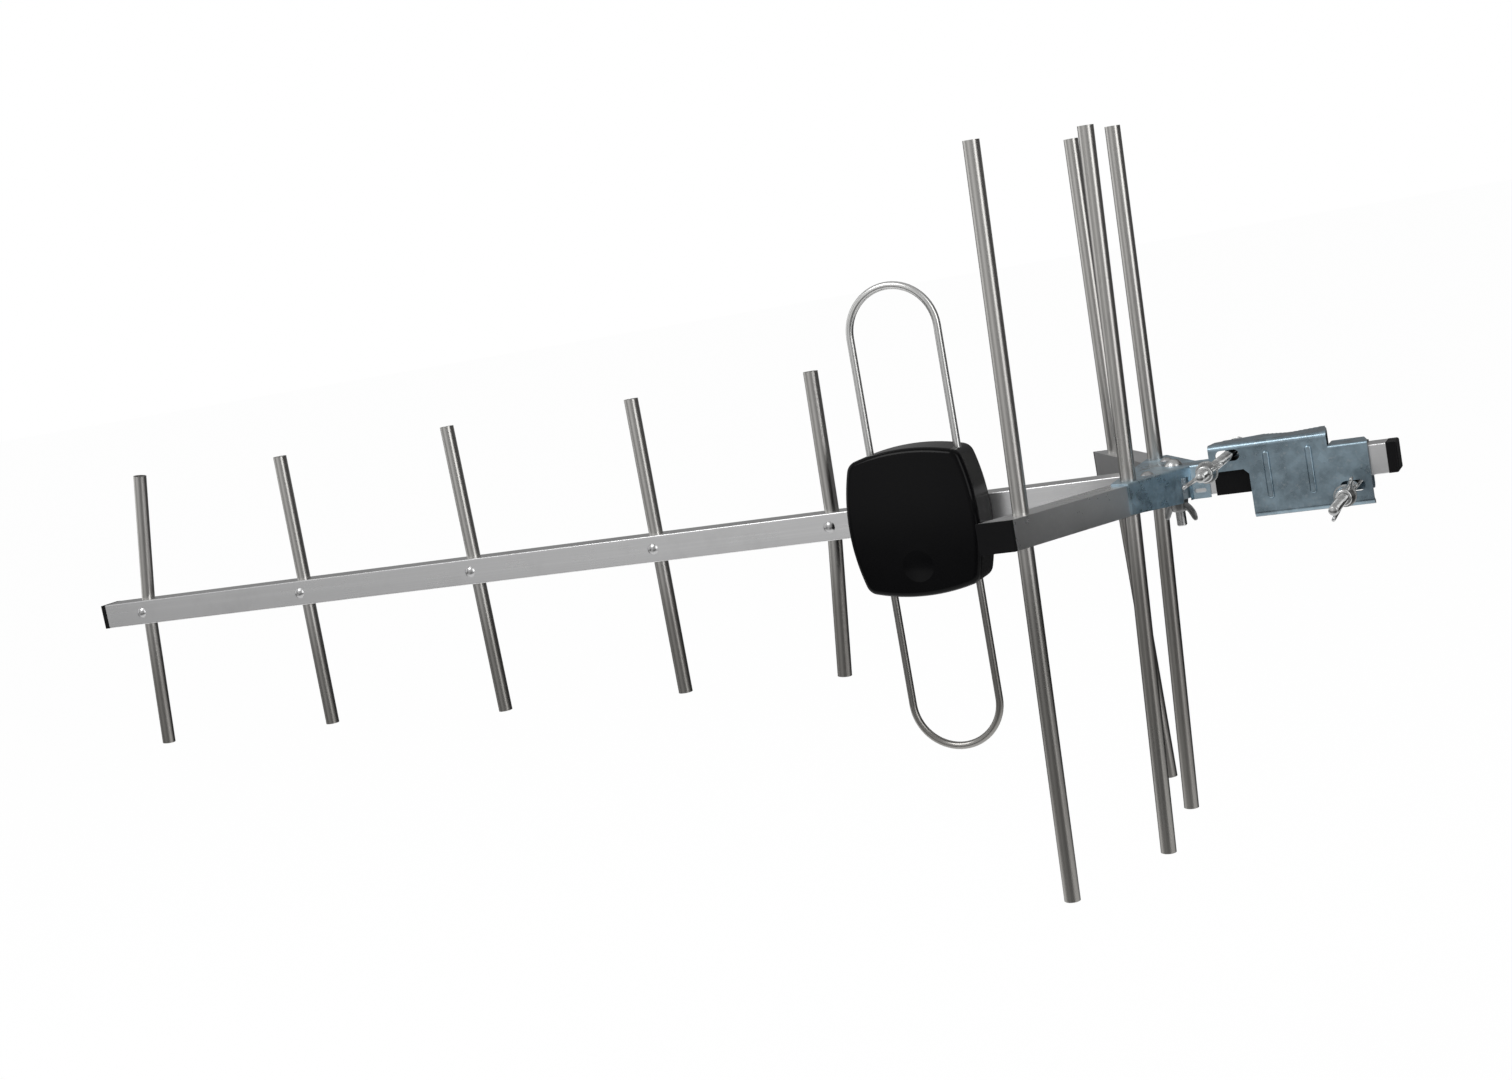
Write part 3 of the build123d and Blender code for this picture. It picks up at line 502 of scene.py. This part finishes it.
# A bolt along Z, its head below zero, its square neck and its thread above
def carriage_bolt(form, fixings, length):
    segments = fixings.segments
    outer = fixings.bolt_radius
    head = fixings.head_radius
    height = fixings.head_height
    slopes = [math.pi * step / 16 for step in range(1, 8)]
    dome = [(head * math.sin(slope), -height * math.cos(slope)) for slope in slopes]
    edge = [(head, -HEAD_EDGE), (head - HEAD_EDGE, 0.0), (outer, 0.0)]
    rings = turn_profile(form, [*dome, *edge], segments)
    form.faces.new(reversed(rings[0]))
    width = fixings.neck_width
    place = Matrix.Translation((0, 0, fixings.neck_length / 2))
    size = Matrix.Diagonal((width, width, fixings.neck_length, 1))
    bmesh.ops.create_cube(form, size=1.0, matrix=place @ size)
    start = fixings.neck_length - THREAD_START
    count = int((length - start) / fixings.thread_pitch * RINGS_A_TURN)
    heights = [start + (length - start) * step / count for step in range(count + 1)]
    rings = []
    for height in heights:
        taper = max(0.0, height - (length - TIP_TAPER))
        radii = []
        for step in range(segments):
            turn = (height / fixings.thread_pitch - step / segments) % 1.0
            groove = fixings.thread_depth * abs(2 * turn - 1)
            radii.append(outer - max(groove, taper))
        rings.append(new_ring(form, height, radii))
    join_all(form, rings)
    form.faces.new(rings[-1])


# Outline of a wing from its root to its tip and back, in millimetres
WING_ROOT = 2.7
WING_TAPER = 0.045
WING = [
    (WING_ROOT, 0.9), (5.0, 1.1), (8.6, 3.2), (11.4, 6.2), (12.0, 9.2), (11.2, 11.5), (9.0, 11.4), (7.4, 9.2),
    (6.0, 6.9), (4.4, 6.0), (WING_ROOT, 5.8),
]


# One wing as a closed slab that thins towards its tip, in the plane of X and Z
def wing(form, thickness, side):
    faces = {}
    for cheek in (-1, 1):
        points = []
        for x, z in WING:
            half = thickness / 2 * (1.0 - WING_TAPER * (x - WING_ROOT))
            points.append(form.verts.new((side * x * MM, cheek * half, z * MM)))
        faces[cheek] = points
    join_rings(form, faces[-1], faces[1])
    tip = len(WING) // 2
    for points in faces.values():
        low, high = points[:tip + 1], points[tip:]
        for index in range(len(low) - 1):
            other = len(high) - 1 - index
            corners = [low[index], low[index + 1], high[max(other - 1, 0)], high[other]]
            corners = list(dict.fromkeys(corners))
            if len(corners) > 2:
                form.faces.new(corners)


# Section of a wing nut's hub: radius and height, in millimetres
HUB = [
    (2.58, 0.0), (4.7, 0.0), (4.9, 0.3), (4.75, 1.6), (4.3, 3.8), (4.1, 5.6), (3.8, 6.3), (3.4, 6.5),
    (2.58, 6.5),
]
WING_SMOOTHING = 3
SHARP_FROM = math.radians(50)
# Points of the solid farther out than this belong to its wings
WING_REACH = 9 * MM


# How far a wing nut is turned round its bolt, read from its solid
def wing_bearing(node, place):
    back = place.inverted()
    east = north = 0.0
    for vertex in NODES[node].data.vertices:
        point = back @ vertex.co
        if math.hypot(point.x, point.y) > WING_REACH:
            bearing = 2 * math.atan2(point.y, point.x)
            east += math.cos(bearing)
            north += math.sin(bearing)
    return math.atan2(north, east) / 2


# Both wings, rounded
def rounded_wings(name, thickness):
    form = bmesh.new()
    for side in (-1, 1):
        wing(form, thickness, side)
    bmesh.ops.recalc_face_normals(form, faces=form.faces)
    wings = bpy.data.meshes.new(name + "_wings")
    form.to_mesh(wings)
    form.free()
    cage = bpy.data.objects.new(name + "_wings", wings)
    bpy.context.collection.objects.link(cage)
    cage.modifiers.new("rounded", "SUBSURF").levels = WING_SMOOTHING
    bpy.context.view_layer.update()
    graph = bpy.context.evaluated_depsgraph_get()
    rounded = bpy.data.meshes.new_from_object(cage.evaluated_get(graph))
    bpy.data.objects.remove(cage)
    return rounded


def wing_nut(name, body, node, place, fixings, material):
    form = bmesh.new()
    form.from_mesh(rounded_wings(name, fixings.wing_thickness))
    rings = turn_profile(form, [(radius * MM, height * MM) for radius, height in HUB], 2 * fixings.segments)
    join_rings(form, rings[-1], rings[0])
    bmesh.ops.recalc_face_normals(form, faces=form.faces)
    mesh = bpy.data.meshes.new(name)
    form.to_mesh(mesh)
    form.free()
    mesh.transform(place @ Matrix.Rotation(wing_bearing(node, place), 4, "Z"))
    new_piece(name, mesh, body, node, material)
    mesh.set_sharp_from_angle(angle=SHARP_FROM)


# Boom
class ANTENNA_OT_boom(bpy.types.Operator):
    """Drawn aluminium for the boom, black moulding for its caps"""

    bl_idname = "antenna.boom"
    bl_label = "Boom"

    def execute(self, context):
        metal = context.scene.antenna_metal
        plastic = context.scene.antenna_plastic
        dress("boom", drawn_metal("Boom aluminium", metal.boom_colour, "X"))
        scuff = (0.006, 0.006, 0.006)
        cap = moulded_plastic(
            "Cap moulding", plastic.cap_colour, scuff, smooth=0.48, matt=0.66, bump=0.3, ior=1.22
        )
        for node in ("boom_front_cap", "boom_rear_cap", "arm_plugs", "clamp_sleeve"):
            dress(node, cap)
        return {"FINISHED"}


# Directors, reflector rods and their rivets
class ANTENNA_OT_elements(bpy.types.Operator):
    """Drawn aluminium for the round tubes, bright aluminium for the rivets"""

    bl_idname = "antenna.elements"
    bl_label = "Elements"

    def execute(self, context):
        metal = context.scene.antenna_metal
        # The tubes carry a painted shade that darkens their lower part
        tube = drawn_metal("Element aluminium", metal.tube_colour, "Z", painted_shade_below=0.45)
        for number in range(1, 6):
            dress(f"director_{number}", tube)
        for number in range(1, 5):
            dress(f"reflector_rod_{number}", tube)
        rivet = drawn_metal("Rivet aluminium", tone(metal.boom_colour, 0.7)[:3], "Y", dark=0.8)
        for node in ("director_rivets", "bracket_rivets"):
            dress(node, rivet)
        return {"FINISHED"}


# Folded dipole
class ANTENNA_OT_dipole(bpy.types.Operator):
    """Bright rod for the dipole, with painted shade on its lower legs"""

    bl_idname = "antenna.dipole"
    bl_label = "Dipole"

    def execute(self, context):
        metal = context.scene.antenna_metal
        # A strong painted shade darkens the rod's lower legs
        rod = drawn_metal("Dipole rod", metal.dipole_colour, "Z", bump=0.15, painted_shade_below=0.7)
        dress("dipole_loop", rod)
        return {"FINISHED"}


# Housing and what is inside it
class ANTENNA_OT_housing(bpy.types.Operator):
    """Glossy plastic for the housing, and finishes for the board, ferrite, terminals and socket"""

    bl_idname = "antenna.housing"
    bl_label = "Housing"

    def execute(self, context):
        metal = context.scene.antenna_metal
        plastic = context.scene.antenna_plastic
        smooth = plastic.box_roughness
        gloss = moulded_plastic(
            "Housing gloss", plastic.box_colour, (0.003, 0.003, 0.0035), smooth, smooth + 0.1,
            bump=0.02, ior=1.2,
        )
        for node in ("box_base", "box_lid"):
            dress(node, gloss)
        board = moulded_plastic("Board", (0.03, 0.11, 0.04), (0.09, 0.16, 0.08), 0.3, 0.5, 0.1)
        ferrite = moulded_plastic("Ferrite", (0.03, 0.03, 0.032), (0.07, 0.07, 0.07), 0.6, 0.8, 0.5)
        insert = moulded_plastic("Insert", (0.75, 0.74, 0.70), (0.60, 0.58, 0.54), 0.4, 0.6, 0.1)
        dress("balun_board", board)
        dress("balun_core", ferrite)
        dress("socket_insert", insert)
        dress("balun_wires", drawn_metal("Copper wire", (0.62, 0.27, 0.14), "X"))
        nickel = drawn_metal("Nickelled brass", (0.56, 0.53, 0.47), "Y", dark=0.7)
        for node in ("terminal_blocks", "f_socket", "socket_nut", "socket_washer"):
            dress(node, nickel)
        fixing = zinc_metal("Screw zinc", metal.fixing_colour, (0.6, 0.6, 0.58))
        for node in ("terminal_screws", "box_screws"):
            dress(node, fixing)
        return {"FINISHED"}


# Reflector arms and bracket
ARM_BEARING = math.radians(60)


class ANTENNA_OT_reflector(bpy.types.Operator):
    """Drawn aluminium for the arms, zinc plate for the bracket and its fixing"""

    bl_idname = "antenna.reflector"
    bl_label = "Reflector"

    def execute(self, context):
        metal = context.scene.antenna_metal
        arms = (("near_arm", "Near arm", -ARM_BEARING), ("far_arm", "Far arm", ARM_BEARING))
        for name, label, bearing in arms:
            dress(name, drawn_metal(f"{label} aluminium", metal.boom_colour, "X", (0.0, 0.0, bearing)))
        sheet = zinc_metal("Bracket zinc", tone(metal.zinc_colour, 1.4)[:3], (0.65, 0.74, 0.75))
        dress("reflector_bracket", sheet)
        fixing = zinc_metal(
            "Bracket fixing zinc", metal.fixing_colour, (0.7, 0.7, 0.68), shade=0.6, bright=0.18, dull=0.34
        )
        # Painted shade: the bracket's wing nut gets a much darker copy of the fixings' zinc, standing in for
        # the shadow it sits in under the boom
        nut_painted_shade_colour = tone(metal.fixing_colour, 0.4)[:3]
        dark = zinc_metal("Nut zinc with painted shade", nut_painted_shade_colour, (0.4, 0.4, 0.4), shade=0.6, bright=0.22, dull=0.4)
        for node in ("bracket_bolt", "bracket_washer"):
            dress(node, fixing)
        low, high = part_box("bracket_wing_nut")
        centre = middle("bracket_washer")
        place = Matrix.Translation((centre[0], centre[1], high[2])) @ Matrix.Rotation(math.pi, 4, "X")
        fixings = context.scene.antenna_fixings
        wing_nut("bracket_nut", "bracket_nut_body", "bracket_wing_nut", place, fixings, dark)
        return {"FINISHED"}


# Mast clamp
class ANTENNA_OT_clamp(bpy.types.Operator):
    """Zinc plate for the clamp's plates, bolts, washers and wing nuts"""

    bl_idname = "antenna.clamp"
    bl_label = "Mast clamp"

    def execute(self, context):
        metal = context.scene.antenna_metal
        plate = zinc_metal("Clamp zinc", metal.zinc_colour, (0.5, 0.55, 0.58))
        for node in ("clamp_plate", "clamp_jaw"):
            dress(node, plate)
        fixing = zinc_metal(
            "Clamp fixing zinc", metal.fixing_colour, (0.8, 0.8, 0.78), shade=0.6, bright=0.16, dull=0.32
        )
        forward = Matrix.Rotation(math.pi / 2, 4, "X")
        fixings = context.scene.antenna_fixings
        low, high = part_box("clamp_bolts")
        seat = high[1] - fixings.head_height
        bolts = bmesh.new()
        for name in ("upper", "lower"):
            dress(f"{name}_washer", fixing)
            centre = middle(f"{name}_washer")
            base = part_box(f"{name}_wing_nut")[1][1]
            place = Matrix.Translation((centre[0], base, centre[2])) @ forward
            wing_nut(f"{name}_nut", f"{name}_nut_body", f"{name}_wing_nut", place, fixings, fixing)
            bolt = bmesh.new()
            carriage_bolt(bolt, fixings, seat - low[1])
            bolt.transform(Matrix.Translation((centre[0], seat, centre[2])) @ forward)
            part = bpy.data.meshes.new("part")
            bolt.to_mesh(part)
            bolt.free()
            bolts.from_mesh(part)
            bpy.data.meshes.remove(part)
        bmesh.ops.recalc_face_normals(bolts, faces=bolts.faces)
        mesh = bpy.data.meshes.new("carriage_bolts")
        bolts.to_mesh(mesh)
        bolts.free()
        new_piece("carriage_bolts", mesh, "clamp_jaw_body", "clamp_bolts", fixing)
        mesh.set_sharp_from_angle(angle=SHARP_FROM)
        return {"FINISHED"}


# Brightness of the walls by compass bearing, in degrees from +X towards +Y
WALLS = [
    (-180, 1.10), (-168, 1.10), (-158, 0.36), (-148, 0.42), (-130, 0.66), (-110, 0.92), (-94, 0.58),
    (-60, 0.36), (-47, 0.45), (-39, 2.60), (-21, 2.60), (-12, 0.20), (0, 0.09), (56, 0.09), (76, 0.20),
    (152, 0.18), (164, 1.10), (180, 1.10),
]
# How much of the ceiling shows in a direction, by the height of its unit vector, and the ceiling's brightness
CEILING = [(0.0, 0.0), (0.5, 0.0), (0.82, 1.0), (1.0, 1.0)]
CEILING_LEVEL = 1.1
CEILING_IN_METAL = 0.45


# Brightness of the walls in a direction, for the room itself and for the floor that mirrors it
def make_wall_level():
    group, source, result = new_group(
        "Wall level", [("Direction", "NodeSocketVector", None)], [("Level", "NodeSocketColor")]
    )
    parts = add(group, "ShaderNodeSeparateXYZ")
    group.links.new(source.outputs["Direction"], parts.inputs[0])
    bearing = math_node(group, "ARCTAN2", parts.outputs["Y"], parts.outputs["X"])
    turn = math_node(group, "ADD", math_node(group, "MULTIPLY", bearing, 0.5 / math.pi), 0.5)
    walls = ramp(group, turn, [((angle + 180) / 360, value) for angle, value in WALLS])
    group.links.new(walls, result.inputs["Level"])
    return group


def wall_level(tree, direction):
    node = add(tree, "ShaderNodeGroup")
    node.node_tree = effect("walls", make_wall_level)
    tree.links.new(direction, node.inputs["Direction"])
    return node.outputs["Level"]


# Distances from the middle of the antenna at which the floor's reflection in polished metal changes
WHITE_UP_TO = 0.3
WHITE_GONE_AT = 0.8
MIDDLE_UP_TO = 1.6
WALLS_FROM = 4.5
# Where the middle of the antenna lies in the floor's own place, and how much its length along X counts
FLOOR_MIDDLE = (0.14, 0, 0)
FLOOR_STRETCH = (0.4, 1, 1)
FLOOR_GLOW_SHARE = 0.93


# White to the camera; in polished metal white close by, and farther off it mirrors the walls
def floor_glow(tree, middle_level):
    light = add(tree, "ShaderNodeLightPath")
    place = add(tree, "ShaderNodeTexCoord")
    middle_place = add(tree, "ShaderNodeMapping")
    middle_place.inputs["Location"].default_value = FLOOR_MIDDLE
    middle_place.inputs["Scale"].default_value = FLOOR_STRETCH
    tree.links.new(place.outputs["Object"], middle_place.inputs["Vector"])
    away = add(tree, "ShaderNodeVectorMath", operation="LENGTH")
    tree.links.new(middle_place.outputs["Vector"], away.inputs[0])
    distance = away.outputs["Value"]
    far = smooth_step(tree, distance, MIDDLE_UP_TO, WALLS_FROM, middle_level, 1.0)
    mirrored = math_node(tree, "MULTIPLY", far, wall_level(tree, place.outputs["Object"]))
    near = smooth_step(tree, distance, WHITE_UP_TO, WHITE_GONE_AT, 1.0, 0.0)
    glossy = light.outputs["Is Glossy Ray"]
    in_metal = math_node(tree, "MULTIPLY", glossy, math_node(tree, "MAXIMUM", near, mirrored))
    seen = math_node(tree, "MAXIMUM", light.outputs["Is Camera Ray"], light.outputs["Is Transmission Ray"])
    share = math_node(tree, "MAXIMUM", math_node(tree, "MULTIPLY", seen, FLOOR_GLOW_SHARE), glossy)
    return math_node(tree, "MAXIMUM", seen, in_metal), share


def make_floor(settings):
    half = settings.floor_size / 2
    mesh = bpy.data.meshes.new("floor")
    corners = [(-half, -half, 0), (half, -half, 0), (half, half, 0), (-half, half, 0)]
    mesh.from_pydata(corners, [], [(0, 1, 2, 3)])
    floor = bpy.data.objects.new("floor", mesh)
    floor.location.z = settings.floor_height
    bpy.context.collection.objects.link(floor)
    material = new_material("Pale floor")
    tree = material.node_tree
    output = add(tree, "ShaderNodeOutputMaterial")
    paint = add(tree, "ShaderNodeBsdfDiffuse")
    paint.inputs["Color"].default_value = (*settings.floor_colour, 1)
    glow = add(tree, "ShaderNodeEmission")
    glow.inputs["Color"].default_value = (1, 1, 1, 1)
    level, share = floor_glow(tree, settings.middle_floor)
    tree.links.new(level, glow.inputs["Strength"])
    mix = add(tree, "ShaderNodeMixShader")
    tree.links.new(share, mix.inputs["Fac"])
    tree.links.new(paint.outputs[0], mix.inputs[1])
    tree.links.new(glow.outputs[0], mix.inputs[2])
    tree.links.new(mix.outputs[0], output.inputs["Surface"])
    mesh.materials.append(material)


# The room: white to the camera, and to other rays a bright ceiling, a soft box in front and a dark right side
def make_world(settings):
    world = bpy.data.worlds.new("Studio")
    bpy.context.scene.world = world
    world.use_nodes = True
    tree = world.node_tree
    tree.nodes.clear()
    output = add(tree, "ShaderNodeOutputWorld")
    place = add(tree, "ShaderNodeTexCoord")
    parts = add(tree, "ShaderNodeSeparateXYZ")
    tree.links.new(place.outputs["Generated"], parts.inputs[0])
    walls = wall_level(tree, place.outputs["Generated"])
    above = ramp(tree, parts.outputs["Z"], CEILING)
    light = add(tree, "ShaderNodeLightPath")
    dimmed = math_node(tree, "MULTIPLY", light.outputs["Is Glossy Ray"], CEILING_LEVEL - CEILING_IN_METAL)
    ceiling = math_node(tree, "SUBTRACT", CEILING_LEVEL, dimmed)
    room = blend(tree, above, walls, ceiling)
    soft = add(tree, "ShaderNodeBackground")
    soft.inputs["Strength"].default_value = settings.room_level
    tree.links.new(room, soft.inputs["Color"])
    white = add(tree, "ShaderNodeBackground")
    white.inputs["Color"].default_value = (1, 1, 1, 1)
    clear = math_node(tree, "MAXIMUM", light.outputs["Is Camera Ray"], light.outputs["Is Transmission Ray"])
    haze = math_node(tree, "MULTIPLY", light.outputs["Is Glossy Ray"], settings.white_haze)
    see = math_node(tree, "MAXIMUM", clear, haze)
    mix = add(tree, "ShaderNodeMixShader")
    tree.links.new(see, mix.inputs["Fac"])
    tree.links.new(soft.outputs[0], mix.inputs[1])
    tree.links.new(white.outputs[0], mix.inputs[2])
    tree.links.new(mix.outputs[0], output.inputs["Surface"])


def make_lamp(name, place, target, size, power):
    data = bpy.data.lights.new(name, "AREA")
    data.shape = "RECTANGLE"
    data.size, data.size_y = size
    data.energy = power
    lamp = bpy.data.objects.new(name, data)
    lamp.location = place
    lamp.rotation_euler = (Vector(target) - Vector(place)).to_track_quat("-Z", "Y").to_euler()
    bpy.context.collection.objects.link(lamp)


# The camera stands where the photograph was taken from
CAMERA_PLACE = (0.1777, -1.0386, 0.1414)
CAMERA_RIGHT = (0.9049, 0.3868, -0.1776)
CAMERA_FORWARD = (-0.4107, 0.9031, -0.1256)


def make_camera(settings):
    right = Vector(CAMERA_RIGHT)
    forward = Vector(CAMERA_FORWARD).normalized()
    right = (right - forward * right.dot(forward)).normalized()
    up = right.cross(forward)
    data = bpy.data.cameras.new("camera")
    data.sensor_fit = "HORIZONTAL"
    data.sensor_width = 36.0
    data.lens = settings.lens
    data.clip_start = 0.01
    camera = bpy.data.objects.new("camera", data)
    turn = Matrix((right, up, -forward)).transposed().to_4x4()
    camera.matrix_world = Matrix.Translation(CAMERA_PLACE) @ turn
    bpy.context.collection.objects.link(camera)
    bpy.context.scene.camera = camera


# Where the soft lamp hangs, what it points at and its width and height
KEY_PLACE = (-0.9, -1.3, 1.9)
KEY_TARGET = (-0.3, 0.0, 0.0)
KEY_SIZE = (1.4, 1.0)


class ANTENNA_OT_stage(bpy.types.Operator):
    """Floor, room light, one soft lamp and the camera"""

    bl_idname = "antenna.stage"
    bl_label = "Stage"

    def execute(self, context):
        settings = context.scene.antenna_stage
        make_floor(settings)
        make_world(settings)
        make_lamp("key lamp", KEY_PLACE, KEY_TARGET, KEY_SIZE, settings.key_power)
        make_camera(settings)
        context.scene.view_settings.view_transform = "Standard"
        return {"FINISHED"}


STEPS = [
    ANTENNA_OT_boom, ANTENNA_OT_elements, ANTENNA_OT_dipole, ANTENNA_OT_housing, ANTENNA_OT_reflector,
    ANTENNA_OT_clamp, ANTENNA_OT_stage,
]


SETTINGS = {
    "antenna_stage": AntennaStage, "antenna_metal": AntennaMetal, "antenna_plastic": AntennaPlastic,
    "antenna_fixings": AntennaFixings,
}


class ANTENNA_PT_panel(bpy.types.Panel):
    """Everything that dresses the antenna"""

    bl_idname = "ANTENNA_PT_panel"
    bl_label = "Television antenna"
    bl_space_type = "VIEW_3D"
    bl_region_type = "UI"
    bl_category = "Antenna"

    def draw(self, context):
        layout = self.layout
        for step in STEPS:
            layout.operator(step.bl_idname)
        for name in SETTINGS:
            box = layout.box()
            group = getattr(context.scene, name)
            for field in group.__annotations__:
                box.prop(group, field)


CLASSES = [*SETTINGS.values(), *STEPS, ANTENNA_PT_panel]


def register():
    for item in CLASSES:
        bpy.utils.register_class(item)
    for name, group in SETTINGS.items():
        setattr(bpy.types.Scene, name, PointerProperty(type=group))


def unregister():
    for name in SETTINGS:
        delattr(bpy.types.Scene, name)
    for item in reversed(CLASSES):
        bpy.utils.unregister_class(item)


def main():
    register()
    bpy.ops.antenna.boom()
    bpy.ops.antenna.elements()
    bpy.ops.antenna.dipole()
    bpy.ops.antenna.housing()
    bpy.ops.antenna.reflector()
    bpy.ops.antenna.clamp()
    bpy.ops.antenna.stage()
    bpy.context.view_layer.update()


if __name__ == "__main__":
    main()
